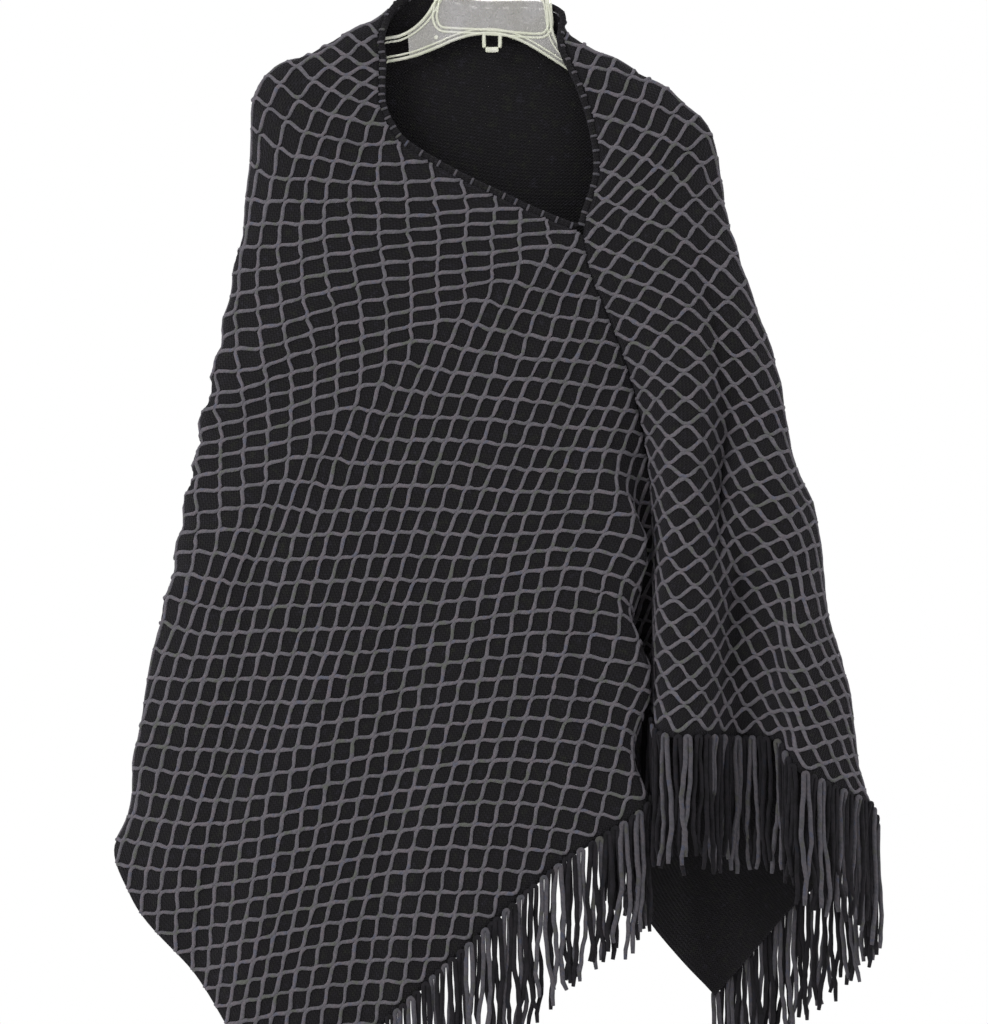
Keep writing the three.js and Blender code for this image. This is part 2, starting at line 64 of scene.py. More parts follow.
# Where each row lies, in millimetres: from the seam or neck edge, over the folds, to the free edge.
rowTable = {
    0: [(148, 44, -746), (125, 62, -769), (99, 44, -797), (104, 10, -820), (136, -29, -840),
        (55, -42, -897), (-7, -45, -950), (-99, -46, -1035), (-208, -34, -1134)],
    4: [(146, 30, -654), (132, 44, -670), (114, 34, -691), (117, 6, -708), (138, -24, -718),
        (77, -38, -755), (-19, -44, -827), (-111, -46, -916), (-194, -40, -1003), (-252, -18, -1073)],
    8: [(143, 12, -560), (131, 14, -573), (127, -4, -585), (134, -25, -596), (69, -38, -630),
        (-19, -43, -711), (-110, -46, -800), (-201, -42, -895), (-256, -28, -957), (-295, -6, -1007)],
    12: [(131, -6, -473), (86, -28, -507), (-16, -38, -589), (-90, -41, -655), (-182, -41, -749),
        (-271, -32, -844), (-317, -18, -889), (-358, 4, -933)],
    14: [(121, -12, -432), (44, -32, -487), (-37, -38, -549), (-112, -40, -615), (-181, -38, -687),
        (-250, -30, -758), (-319, -14, -827), (-359, 4, -867), (-374, 14, -885)],
    16: [(103, -16, -386), (49, -30, -425), (-7, -34, -465), (-61, -37, -507), (-159, -38, -601),
        (-227, -34, -670), (-274, -26, -720), (-320, -12, -763), (-353, 6, -796), (-350, 22, -826),
        (-337, 28, -848)],
    17: [(95, -17, -364), (44, -30, -405), (-28, -35, -453), (-99, -37, -512), (-170, -36, -581),
        (-230, -32, -643), (-285, -22, -701), (-325, -8, -738), (-347, 5, -763), (-344, 22, -797),
        (-326, 31, -834)],
    18: [(85, -18, -342), (-3, -32, -405), (-83, -36, -467), (-158, -35, -539), (-229, -30, -609),
        (-298, -16, -682), (-340, 4, -727), (-338, 22, -768), (-318, 32, -818)],
    19: [(80, -18, -321), (15, -29, -364), (-55, -34, -415), (-120, -36, -470), (-182, -34, -527),
        (-229, -30, -579), (-277, -22, -628), (-312, -8, -663), (-333, 6, -688), (-329, 22, -730),
        (-304, 33, -792)],
    20: [(76, -18, -300), (32, -26, -323), (-29, -32, -364), (-83, -34, -405), (-135, -35, -450),
        (-182, -34, -498), (-230, -29, -548), (-276, -18, -594), (-307, -8, -623), (-325, 6, -646),
        (-319, 22, -687), (-295, 33, -741), (-279, 35, -769)],
    21: [(48, -18, -287), (0, -27, -316), (-58, -32, -356), (-110, -33, -398), (-160, -32, -444),
        (-206, -29, -490), (-254, -20, -536), (-290, -7, -573), (-314, 7, -597), (-306, 25, -651),
        (-279, 34, -715), (-256, 36, -759)],
    22: [(22, -18, -276), (-32, -27, -308), (-88, -31, -348), (-137, -31, -392), (-184, -28, -438),
        (-230, -20, -483), (-279, -6, -525), (-305, 8, -548), (-295, 28, -610), (-229, 39, -752)],
    23: [(-1, -18, -265), (-52, -27, -293), (-106, -30, -329), (-154, -30, -370), (-198, -26, -418),
        (-244, -15, -464), (-277, -3, -494), (-297, 8, -512), (-287, 28, -573), (-258, 36, -649),
        (-192, 40, -749)],
    24: [(-33, -18, -250), (-71, -25, -277), (-124, -29, -309), (-171, -28, -348), (-212, -24, -397),
        (-260, -9, -447), (-290, 7, -472), (-280, 28, -533), (-237, 38, -630), (-154, 41, -746)],
    25: [(-63, -18, -234), (-92, -24, -257), (-141, -27, -287), (-187, -24, -327), (-230, -14, -375),
        (-259, -2, -403), (-279, 7, -425), (-269, 28, -488), (-222, 38, -600), (-128, 42, -742)],
    26: [(-95, -18, -214), (-114, -22, -237), (-158, -24, -266), (-203, -18, -307), (-246, -4, -354),
        (-268, 8, -381), (-257, 28, -445), (-206, 38, -571), (-101, 43, -736)],
    27.2: [(-111, -17, -194), (-134, -22, -214), (-178, -21, -241), (-214, -13, -273), (-242, -2, -303),
        (-258, 8, -327), (-248, 27, -392), (-193, 38, -532), (-83, 45, -725)],
    28.4: [(-119, -16, -174), (-157, -22, -191), (-197, -17, -218), (-226, -6, -243), (-246, 8, -269),
        (-238, 26, -339), (-180, 38, -494), (-67, 46, -712)],
    29.6: [(-120, -14, -154), (-157, -18, -162), (-190, -17, -174), (-216, -10, -178), (-236, 2, -186),
        (-241, 14, -215), (-228, 28, -305), (-174, 38, -465), (-62, 46, -676)],
    31: [(-119, -12, -133), (-152, -13, -133), (-186, -9, -132), (-214, 0, -136), (-233, 10, -153),
        (-236, 17, -178), (-215, 28, -271), (-159, 38, -435), (-52, 46, -649)],
    32.5: [(-119, -9, -102), (-134, -7, -100), (-154, 0, -107), (-173, 11, -123), (-187, 21, -170),
        (-177, 32, -300), (-128, 41, -474), (-39, 49, -657)],
    33.2: [(-111, 1, -84), (-125, 4, -94), (-146, 10, -111), (-158, 16, -137), (-165, 23, -185),
        (-157, 33, -300), (-111, 42, -469), (-29, 50, -661)],
    34: [(-92, 9, -71), (-110, 13, -91), (-125, 18, -129), (-133, 24, -180), (-130, 33, -300),
        (-91, 42, -464), (-20, 51, -665)],
    36.5: [(-25, 10, -78), (-42, 14, -103), (-55, 19, -142), (-60, 25, -214), (-55, 36, -358),
        (-31, 46, -532), (-4, 54, -706)],
    39: [(52, 4, -86), (35, 17, -126), (19, 25, -204), (12, 34, -319), (11, 46, -474), (14, 54, -630),
        (18, 59, -728)],
    40.5: [(58, -9, -119), (70, -2, -114), (85, 8, -123), (68, 23, -214), (50, 38, -358), (35, 50, -513),
        (26, 60, -718)],
    42: [(74, -16, -154), (90, -11, -142), (108, 0, -132), (122, 13, -143), (105, 30, -281), (72, 46, -445),
        (51, 58, -610), (41, 64, -738)],
    43.5: [(86, -17, -190), (103, -19, -180), (126, -14, -167), (146, -1, -153), (161, 12, -163),
        (151, 26, -252), (113, 42, -406), (76, 58, -610), (51, 66, -738)],
    45: [(92, -18, -230), (114, -24, -218), (143, -22, -203), (170, -9, -188), (191, 5, -189),
        (193, 20, -233), (148, 38, -367), (101, 52, -503), (74, 62, -640), (63, 68, -738)],
    48: [(76, -18, -300), (105, -26, -291), (132, -30, -282), (161, -27, -273), (188, -14, -270),
        (210, 4, -274), (210, 18, -311), (195, 30, -368), (157, 48, -484), (115, 60, -620), (84, 72, -782)],
    53: [(112, -12, -409), (134, -26, -404), (156, -36, -401), (176, -40, -400), (192, -31, -403),
        (202, -21, -405), (213, -24, -408), (235, -22, -415), (254, -8, -424), (263, 8, -437),
        (250, 32, -494), (192, 60, -640), (106, 79, -861)],
    58: [(138, 2, -515), (146, -20, -520), (159, -42, -524), (176, -46, -525), (192, -32, -526),
        (202, -16, -528), (208, -4, -530), (214, -14, -532), (224, -28, -536), (237, -38, -541),
        (252, -41, -545), (268, -36, -551), (283, -20, -558), (297, 0, -568), (300, 18, -598),
        (276, 42, -670), (207, 66, -796), (122, 83, -917)],
    63: [(145, 24, -629), (146, -6, -640), (152, -38, -649), (167, -48, -652), (183, -46, -652),
        (198, -30, -652), (208, -12, -652), (219, 6, -653), (232, 0, -654), (243, -10, -656),
        (254, -18, -660), (264, -26, -666), (270, -34, -680), (277, -41, -692), (285, -38, -696),
        (297, -28, -704), (314, -12, -714), (328, 6, -729), (330, 22, -757), (300, 46, -814),
        (231, 70, -894), (144, 86, -967)],
    68: [(148, 44, -746), (145, 8, -760), (148, -36, -773), (159, -49, -777), (176, -50, -777),
        (196, -36, -778), (206, -18, -779), (221, 4, -781), (235, 4, -781), (247, -6, -781),
        (259, -14, -782), (267, -20, -785), (272, -32, -797), (278, -42, -809), (286, -40, -813),
        (311, -26, -826), (333, -12, -836), (350, 2, -846), (357, 16, -870), (332, 42, -902),
        (280, 62, -952), (207, 80, -1038)],
}

# Creases, in millimetres: the side (-1 is the front, 1 the back), x at the height mid, the lean of x
# over z, the width, the depth outwards, mid, and the heights where it starts and is full.
creaseTable = [
    (-1, -190, 0.28, 30, 6, -800, -520, -860),
    (-1, -105, 0.12, 26, -6, -800, -480, -840),
    (-1, -20, 0.05, 34, 5, -700, -380, -760),
    (-1, 70, -0.05, 24, -4, -600, -360, -640),
    (1, -190, -0.2, 26, 9, -600, -300, -640),
    (1, -105, -0.12, 24, -8, -600, -260, -620),
    (1, -30, -0.04, 26, 12, -600, -220, -600),
    (1, 42, 0.05, 24, -10, -620, -260, -680),
    (1, 118, -0.06, 28, 15, -700, -330, -800),
    (1, 205, -0.14, 26, -9, -760, -420, -860),
    (-1, 62, -0.12, 15, 5, -760, -560, -720),
    (-1, -64, 0.22, 17, 4, -820, -610, -840),
    (-1, -250, 0.16, 16, -4, -720, -430, -640),
    (1, -148, -0.16, 14, -6, -600, -360, -640),
    (1, 8, 0.02, 13, 5, -600, -300, -560),
    (1, 82, 0.04, 14, 6, -640, -380, -700),
    (1, 163, -0.1, 15, -7, -740, -460, -780),
]


def smooth(q):
    c = np.clip(q, 0, 1)
    return c * c * (3 - 2 * c)


def unit(v):
    return v / np.maximum(np.linalg.norm(v, axis=-1, keepdims=True), 1e-12)


# The tangent at each knot is the mean of its two slopes, weighted by the other side's length.
def tangentsAt(knots, points):
    spans = np.diff(knots).reshape((-1,) + (1,) * (points.ndim - 1))
    slopes = np.diff(points, axis=0) / spans
    inner = (slopes[:-1] * spans[1:] + slopes[1:] * spans[:-1]) / (spans[:-1] + spans[1:])
    return np.concatenate([slopes[:1], inner, slopes[-1:]])


# A cubic through points and tangents: u is the share of the way from one knot to the next.
def cubic(u, span, fromPoint, fromTangent, toPoint, toTangent):
    return ((1 + 2 * u) * (1 - u) ** 2 * fromPoint + u * (1 - u) ** 2 * span * fromTangent
            + u * u * (3 - 2 * u) * toPoint + u * u * (u - 1) * span * toTangent)


def curveThrough(knots, points, at):
    tangents = tangentsAt(knots, points)
    i = np.clip(np.searchsorted(knots, at, side="right") - 1, 0, len(knots) - 2)
    span = (knots[i + 1] - knots[i])[:, None]
    u = (at - knots[i])[:, None] / span
    return cubic(u, span, points[i], tangents[i], points[i + 1], tangents[i + 1])


# Points evenly spaced by length along a curve through the given ones, with knots at the square roots of
# the distances between them.
def evenCurve(points, count):
    points = np.asarray(points, float)
    steps = np.linalg.norm(np.diff(points, axis=0), axis=1)
    knots = np.concatenate([[0], np.cumsum(np.sqrt(steps))])
    fine = curveThrough(knots, points, np.linspace(0, knots[-1], cloth["samples"]))
    lengths = np.concatenate([[0], np.cumsum(np.linalg.norm(np.diff(fine, axis=0), axis=1))])
    targets = np.linspace(0, lengths[-1], count)
    return np.stack([np.interp(targets, lengths, fine[:, k]) for k in range(fine.shape[1])], axis=1)


stationRows = np.array(list(rowTable), float)
laid = np.stack([evenCurve(np.array(path) / 1000, cloth["columns"] + 1) for path in rowTable.values()])
laidTangents = tangentsAt(stationRows, laid)


# The creases push a point in or out, each by depth * exp(-off squared), less where the cloth turns.
def creased(points):
    x, y, z = np.moveaxis(points, -1, 0)
    push = np.zeros_like(x)
    for side, middle, lean, width, depth, mid, start, full in creaseTable:
        off = (x - (middle / 1000 + lean * (z - mid / 1000))) / (width / 1000)
        grown = smooth((start / 1000 - z) * 1000 / (start - full))
        push += np.where(y * side > 0, depth / 1000 * np.exp(-off * off) * grown, 0)
    moved = y + np.sign(y) * push * smooth(np.abs(y) / cloth["sideBlend"])
    return np.stack([x, moved, z], axis=-1)


# Rows and shares of the width as arrays of one shape.
def paired(row, across):
    return np.broadcast_arrays(np.asarray(row, float), np.asarray(across, float))


# The cloth's middle surface before it is sewn, at a row and a share of the way across: a cubic along
# the rows' stations, and straight between the laid columns.
def looseCloth(row, across):
    i = np.clip(np.searchsorted(stationRows, row, side="right") - 1, 0, len(stationRows) - 2)
    span = (stationRows[i + 1] - stationRows[i])[..., None]
    u = (row - stationRows[i])[..., None] / span
    step = np.clip(across, 0, 1) * cloth["columns"]
    j = np.minimum(step.astype(int), cloth["columns"] - 1)
    part = (step - j)[..., None]

    def column(table, k):
        return table[k, j] * (1 - part) + table[k, j + 1] * part

    return creased(cubic(u, span, column(laid, i), column(laidTangents, i),
                         column(laid, i + 1), column(laidTangents, i + 1)))


# The cloth's middle surface. Where two rows are sewn together, both are drawn to the middle of their ends.
def clothAt(row, across):
    row, across = paired(row, across)
    points = looseCloth(row, across)
    sewn = (row <= cloth["neckRow"]) | (row >= cloth["rowsInAll"] - cloth["neckRow"])
    edge = np.zeros_like(across)
    pull = (looseCloth(cloth["rowsInAll"] - row, edge) - looseCloth(row, edge)) / 2
    weight = np.where(sewn, 1 - smooth(across / cloth["seamEase"]), 0)
    return points + pull * weight[..., None]


# Unit normals out of the cloth: the cross product of the ways along and across it.
def clothNormal(row, across):
    row, across = paired(row, across)
    ahead = np.minimum(row + cloth["rowStep"], cloth["rowsInAll"])
    along = clothAt(ahead, across) - clothAt(np.maximum(row - cloth["rowStep"], 0), across)
    right = np.minimum(across + cloth["acrossStep"], 1)
    over = clothAt(row, right) - clothAt(row, np.maximum(across - cloth["acrossStep"], 0))
    return unit(np.cross(along, over))


# A node of a material: its inputs are numbers, colours or the outputs of other nodes.
def addNode(tree, kind, inputs, **settings):
    node = tree.nodes.new("ShaderNode" + kind)
    for name, value in settings.items():
        setattr(node, name, value)
    for name, value in inputs.items():
        if isinstance(value, bpy.types.NodeSocket):
            tree.links.new(value, node.inputs[name])
        else:
            node.inputs[name].default_value = value
    return node


def toLinear(hexColour):
    channels = [int(hexColour[i:i + 2], 16) / 255 for i in (1, 3, 5)]
    return [c / 12.92 if c <= 0.04045 else ((c + 0.055) / 1.055) ** 2.4 for c in channels] + [1]


def newMaterial(name):
    material = bpy.data.materials.new(name)
    material.use_nodes = True
    material.node_tree.nodes.clear()
    return material, material.node_tree


# A ramp between colours, given as (place, hex) pairs.
def setRamp(node, stops):
    ramp = node.color_ramp
    while len(ramp.elements) < len(stops):
        ramp.elements.new(0.5)
    for element, (place, colour) in zip(ramp.elements, stops):
        element.position = place
        element.color = toLinear(colour)
    return node.outputs["Color"]


def finishMaterial(tree, shader):
    addNode(tree, "OutputMaterial", {"Surface": shader.outputs[0]})


# Wool and acrylic jersey, knitted on a coarse gauge: near black and matt, with small V-shaped stitches and
# dyed fibres that show as faint olive and violet patches. Stitches are 3.4 mm wide, drawn a little coarse.
groundLook = {
    "stitchWidth": 0.0034,
    "stitchHeight": 0.0029,
    "legLean": 1.9,       # of a stitch's two legs, in radians of its height
    "grooveDepth": 0.7,   # of the groove between stitches, as a share of the legs' relief
    "fibre": 0.0011,
    "fibreRelief": 1.6,   # weight of the fibres against the legs
    "paintedShade": (0.62, 1.35),    # painted shade in the grooves and painted highlight on the legs
    "patch": 0.009,
    "dark": "#19181a",
    "violet": "#222126",
    "olive": "#20211d",
    "relief": 0.0009,
}


def knitJersey():
    look = groundLook
    material, tree = newMaterial("knitted wool jersey")
    lay = addNode(tree, "UVMap", {}, uv_map="lay").outputs["UV"]
    split = addNode(tree, "SeparateXYZ", {"Vector": lay})
    across = addNode(tree, "Math", {0: split.outputs["X"], 1: 2 * np.pi / look["stitchWidth"]},
                     operation="MULTIPLY").outputs[0]
    along = addNode(tree, "Math", {0: split.outputs["Y"], 1: 2 * np.pi / look["stitchHeight"]},
                    operation="MULTIPLY").outputs[0]
    lean = addNode(tree, "Math", {0: across}, operation="COSINE").outputs[0]
    slant = addNode(tree, "Math", {0: lean, 1: look["legLean"], 2: along},
                    operation="MULTIPLY_ADD").outputs[0]
    legs = addNode(tree, "Math", {0: slant}, operation="SINE").outputs[0]
    relief = addNode(tree, "Math", {0: lean, 1: look["grooveDepth"], 2: legs},
                     operation="MULTIPLY_ADD").outputs[0]
    fibre = addNode(tree, "TexNoise", {"Vector": lay, "Scale": 1 / look["fibre"], "Detail": 3.0,
                                       "Roughness": 0.6}).outputs["Fac"]
    height = addNode(tree, "Math", {0: fibre, 1: look["fibreRelief"], 2: relief},
                     operation="MULTIPLY_ADD").outputs[0]
    patches = addNode(tree, "TexNoise", {"Vector": lay, "Scale": 1 / look["patch"], "Detail": 4.0,
                                         "Roughness": 0.65}).outputs["Fac"]
    colour = setRamp(addNode(tree, "ValToRGB", {"Fac": patches}), [
        (0.30, look["olive"]), (0.46, look["dark"]), (0.56, look["dark"]), (0.70, look["violet"])])
    # Painted shade and highlight: the colour is darkened in the grooves between stitches and lightened on the
    # legs.
    most = 1 + look["grooveDepth"]
    paintedShade = addNode(tree, "MapRange", {"Value": relief, "From Min": -most, "From Max": most,
                                       "To Min": look["paintedShade"][0], "To Max": look["paintedShade"][1]}).outputs[0]
    colourWithPaintedShade = addNode(tree, "VectorMath", {0: colour, "Scale": paintedShade}, operation="SCALE").outputs[0]
    bump = addNode(tree, "Bump", {"Height": height, "Distance": look["relief"], "Strength": 0.7})
    finishMaterial(tree, addNode(tree, "BsdfPrincipled", {
        "Base Color": colourWithPaintedShade, "Roughness": 0.95, "Specular IOR Level": 0.12, "Sheen Weight": 0.12,
        "Sheen Roughness": 0.45, "Sheen Tint": toLinear("#8b8794"), "Normal": bump.outputs["Normal"]}))
    return material


# Heather wool yarn, spun in two plies from dyed fibres: grey-violet, with pink, blue and olive flecks that
# change every 5 to 15 mm along the yarn, and a soft nap.
yarnLook = {
    "plyPitch": 0.005,
    "plyTurn": 0.006,     # along the yarn's round
    "plyShare": 0.22,     # weight of the plies in the relief
    "fibre": 0.0012,
    "fibreShare": 2.5,    # weight of the fibres in it
    "paintedShadeOver": (0.4, 2.1),    # the relief at which the painted shade and painted highlight below are reached
    # painted shade where the plies and fibres are low, painted highlight where they are high
    "paintedShade": (0.74, 1.2),
    "patch": 0.012,
    "relief": 0.0006,
    "net": ["#535550", "#545258", "#5c5a5f", "#5f595e", "#545560"],
    "greyStrand": ["#464642", "#434349", "#4d4b50", "#4c484b", "#424552"],
    "blackStrand": ["#141415", "#171619", "#1b1a1e", "#1e1b1e", "#17191f"],
}


def spunYarn(name, colours, sheen):
    look = yarnLook
    material, tree = newMaterial(name)
    lay = addNode(tree, "UVMap", {}, uv_map="lay").outputs["UV"]
    patches = addNode(tree, "TexNoise", {"Vector": lay, "Scale": 1 / look["patch"], "Detail": 2.0,
                                         "Roughness": 0.5}).outputs["Fac"]
    colour = setRamp(addNode(tree, "ValToRGB", {"Fac": patches}),
                     list(zip((0.34, 0.44, 0.52, 0.60, 0.68), colours)))
    split = addNode(tree, "SeparateXYZ", {"Vector": lay})
    length = addNode(tree, "Math", {0: split.outputs["X"], 1: 2 * np.pi / look["plyPitch"]},
                     operation="MULTIPLY").outputs[0]
    turn = addNode(tree, "Math", {0: split.outputs["Y"], 1: 2 * np.pi / look["plyTurn"], 2: length},
                   operation="MULTIPLY_ADD").outputs[0]
    twist = addNode(tree, "Math", {0: turn}, operation="SINE").outputs[0]
    plies = addNode(tree, "Math", {0: twist, 1: look["plyShare"]}, operation="MULTIPLY").outputs[0]
    fibre = addNode(tree, "TexNoise", {"Vector": lay, "Scale": 1 / look["fibre"], "Detail": 3.0,
                                       "Roughness": 0.7}).outputs["Fac"]
    height = addNode(tree, "Math", {0: fibre, 1: look["fibreShare"], 2: plies},
                     operation="MULTIPLY_ADD").outputs[0]
    # Painted shade and highlight: the colour is darker where the plies and fibres are low and lighter where
    # they are high.
    paintedShade = addNode(tree, "MapRange", {
        "Value": height, "From Min": look["paintedShadeOver"][0], "From Max": look["paintedShadeOver"][1],
        "To Min": look["paintedShade"][0], "To Max": look["paintedShade"][1]}).outputs[0]
    colourWithPaintedShade = addNode(tree, "VectorMath", {0: colour, "Scale": paintedShade}, operation="SCALE").outputs[0]
    bump = addNode(tree, "Bump", {"Height": height, "Distance": look["relief"], "Strength": 0.8})
    finishMaterial(tree, addNode(tree, "BsdfPrincipled", {
        "Base Color": colourWithPaintedShade, "Roughness": 0.9, "Specular IOR Level": 0.15, "Sheen Weight": sheen,
        "Sheen Roughness": 0.5, "Sheen Tint": toLinear("#a8a2b0"), "Normal": bump.outputs["Normal"]}))
    return material


# Polystyrene, injection moulded. The thin web is hazy with flow marks and fine scratches, so that it looks
# pale grey over dark cloth, and the thick rims are clear and bright, with a slight yellow green.
styreneLook = {
    "flow": 0.03,
    "flowRelief": 0.0006,
    "scratch": 0.004,
    "web": {"colours": ["#c4c2bd", "#cecccb", "#d5d3d4"], "clear": 0.64, "rough": (0.2, 0.34)},
    "rim": {"colours": ["#eef1dc", "#f6f7e8", "#fbfbf4"], "clear": 0.5, "rough": (0.02, 0.14)},
}


def mouldedStyrene(name, look):
    material, tree = newMaterial(name)
    point = addNode(tree, "TexCoord", {}).outputs["Object"]
    flow = addNode(tree, "TexNoise", {"Vector": point, "Scale": 1 / styreneLook["flow"], "Detail": 3.0})
    scratch = addNode(tree, "TexNoise", {"Vector": point, "Scale": 1 / styreneLook["scratch"], "Detail": 2.0})
    colour = setRamp(addNode(tree, "ValToRGB", {"Fac": flow.outputs["Fac"]}),
                     list(zip((0.35, 0.55, 0.7), look["colours"])))
    rough = addNode(tree, "MapRange", {"Value": scratch.outputs["Fac"], "To Min": look["rough"][0],
                                       "To Max": look["rough"][1]}).outputs[0]
    bump = addNode(tree, "Bump", {"Height": flow.outputs["Fac"], "Distance": styreneLook["flowRelief"],
                                  "Strength": 0.4})
    finishMaterial(tree, addNode(tree, "BsdfPrincipled", {
        "Base Color": colour, "Roughness": rough, "IOR": 1.45, "Transmission Weight": look["clear"],
        "Normal": bump.outputs["Normal"]}))
    return material


# Steel wire, bright zinc plated and drawn: faint lines along the wire and a soft shine.
wireLook = {"line": 0.0004, "stretch": 0.05, "relief": 0.00004, "rough": (0.16, 0.4), "zinc": "#c4c6c8"}


def platedWire():
    material, tree = newMaterial("zinc plated wire")
    lay = addNode(tree, "UVMap", {}, uv_map="lay").outputs["UV"]
    scale = (wireLook["stretch"], 1, 1)
    stretched = addNode(tree, "Mapping", {"Vector": lay, "Scale": scale}).outputs["Vector"]
    lines = addNode(tree, "TexNoise", {"Vector": stretched, "Scale": 1 / wireLook["line"],
                                       "Detail": 3.0}).outputs["Fac"]
    rough = addNode(tree, "MapRange", {"Value": lines, "To Min": wireLook["rough"][0],
                                       "To Max": wireLook["rough"][1]}).outputs[0]
    bump = addNode(tree, "Bump", {"Height": lines, "Distance": wireLook["relief"], "Strength": 0.5})
    finishMaterial(tree, addNode(tree, "BsdfPrincipled", {
        "Base Color": toLinear(wireLook["zinc"]), "Metallic": 1.0, "Roughness": rough,
        "Normal": bump.outputs["Normal"]}))
    return material


# Paper roll for the floor: pale and matt, with a fine grain.
def floorPaper():
    material, tree = newMaterial("matt paper")
    point = addNode(tree, "TexCoord", {}).outputs["Object"]
    grain = addNode(tree, "TexNoise", {"Vector": point, "Scale": 60.0, "Detail": 4.0}).outputs["Fac"]
    colour = setRamp(addNode(tree, "ValToRGB", {"Fac": grain}), [(0.3, "#e6e5e3"), (0.7, "#ecebea")])
    finishMaterial(tree, addNode(tree, "BsdfPrincipled", {"Base Color": colour, "Roughness": 0.85}))
    return material


# A mesh from quads and triangles. lay is each point's place for the pattern, in metres.
def makeMesh(name, points, quads, triangles, lay, materials, picks=None):
    mesh = bpy.data.meshes.new(name)
    corners = np.concatenate([quads.ravel(), triangles.ravel()]).astype(np.int32)
    sizes = np.concatenate([np.full(len(quads), 4), np.full(len(triangles), 3)])
    mesh.vertices.add(len(points))
    mesh.vertices.foreach_set("co", points.astype(np.float32).ravel())
    mesh.loops.add(len(corners))
    mesh.loops.foreach_set("vertex_index", corners)
    mesh.polygons.add(len(sizes))
    mesh.polygons.foreach_set("loop_start", np.concatenate([[0], np.cumsum(sizes)[:-1]]).astype(np.int32))
    mesh.polygons.foreach_set("use_smooth", np.ones(len(sizes), bool))
    if picks is not None:
        mesh.polygons.foreach_set("material_index", picks.astype(np.int32))
    mesh.uv_layers.new(name="lay").data.foreach_set("uv", lay[corners].astype(np.float32).ravel())
    mesh.update(calc_edges=True)
    mesh.validate()
    for material in materials:
        mesh.materials.append(material)
    piece = bpy.data.objects.new(name, mesh)
    bpy.context.scene.collection.objects.link(piece)
    print(f"{name}: {2 * len(quads) + len(triangles)} triangles")
    return piece


# The faces of a closed wall between two grids of points with the same rows and columns.
def wallFaces(rows, columns):
    at = np.arange(2 * rows * columns).reshape(2, rows, columns)
    front, back = at

    def patch(a, b, c, d):
        return np.stack([a.ravel(), b.ravel(), c.ravel(), d.ravel()], axis=1)

    return np.concatenate([
        patch(front[:-1, :-1], front[1:, :-1], front[1:, 1:], front[:-1, 1:]),
        patch(back[:-1, :-1], back[:-1, 1:], back[1:, 1:], back[1:, :-1]),
        patch(front[:-1, 0], back[:-1, 0], back[1:, 0], front[1:, 0]),
        patch(front[:-1, -1], front[1:, -1], back[1:, -1], back[:-1, -1]),
        patch(front[0, :-1], front[0, 1:], back[0, 1:], back[0, :-1]),
        patch(front[-1, :-1], back[-1, :-1], back[-1, 1:], front[-1, 1:]),
    ])


noTriangles = np.zeros((0, 3), int)
noQuads = np.zeros((0, 4), int)
yarnLay = {"apart": 0.05, "round": 0.012}    # in the pattern: from a yarn to the next, and once round one


# Tubes along many paths of equally many points: a ring's point is the path point, plus across times the
# cosine of its angle times width, plus out times the sine times height. Both ends close in a pole.
def tubes(paths, across, out, width, height, sides):
    count, rings = paths.shape[:2]
    angle = 2 * np.pi * np.arange(sides) / sides - np.pi / 2
    points = (paths[:, :, None]
              + across[:, :, None] * (width[..., None] * np.cos(angle))[..., None]
              + out[:, :, None] * (height[..., None] * np.sin(angle))[..., None])
    lengths = np.concatenate([np.zeros((count, 1)),
                              np.cumsum(np.linalg.norm(np.diff(paths, axis=1), axis=2), axis=1)], axis=1)
    rounds = yarnLay["apart"] * np.arange(count)[:, None, None] + yarnLay["round"] * np.arange(sides) / sides
    lay = np.stack(np.broadcast_arrays(lengths[:, :, None], rounds), axis=-1)
    at = np.arange(count * rings * sides).reshape(count, rings, sides)
    turned = np.roll(at, -1, axis=2)
    quads = np.stack([at[:, :-1], turned[:, :-1], turned[:, 1:], at[:, 1:]], axis=-1).reshape(-1, 4)
    first = count * rings * sides + np.arange(count)[:, None]
    last = first + count
    caps = np.concatenate([
        np.stack(np.broadcast_arrays(first, turned[:, 0], at[:, 0]), axis=-1).reshape(-1, 3),
        np.stack(np.broadcast_arrays(last, at[:, -1], turned[:, -1]), axis=-1).reshape(-1, 3),
    ])
    allPoints = np.concatenate([points.reshape(-1, 3), paths[:, 0], paths[:, -1]])
    allLay = np.concatenate([lay.reshape(-1, 2), lay[:, 0, 0], lay[:, -1, 0]])
    return allPoints, quads, caps, allLay


# Several sets of points and faces as one.
def joined(parts):
    points, quads, caps, lay = [], [], [], []
    start = 0
    for part in parts:
        points.append(part[0])
        quads.append(part[1] + start)
        caps.append(part[2] + start)
        lay.append(part[3])
        start += len(part[0])
    return np.concatenate(points), np.concatenate(quads), np.concatenate(caps), np.concatenate(lay)


def place(piece, slot, *nodes):
    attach(piece, "root")
    if nodes:
        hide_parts(*nodes)
    return piece


jersey = knitJersey()
netYarn = spunYarn("heather wool yarn", yarnLook["net"], 0.25)
greyYarn = spunYarn("grey heather fringe yarn", yarnLook["greyStrand"], 0.25)
blackYarn = spunYarn("black fringe yarn", yarnLook["blackStrand"], 0.06)
webStyrene = mouldedStyrene("moulded polystyrene web", styreneLook["web"])
rimStyrene = mouldedStyrene("moulded polystyrene rim", styreneLook["rim"])
wire = platedWire()
print("materials made")


# A groove along the seam, in which the edges of the net end.
def seamDip(row, across):
    fromEnd = np.minimum(row, cloth["rowsInAll"] - row)
    sewn = smooth((cloth["neckRow"] - fromEnd) / cloth["seamDipFade"])
    off = across * cloth["width"] / cloth["seamDipWidth"]
    return cloth["seamDip"] * np.exp(-off * off) * sewn


# The cloth's outer or inner face, at a height over the middle surface.
def faceAt(row, across, height):
    row, across = paired(row, across)
    normal = clothNormal(row, across)
    return clothAt(row, across) + normal * (height - seamDip(row, across))[..., None], normal


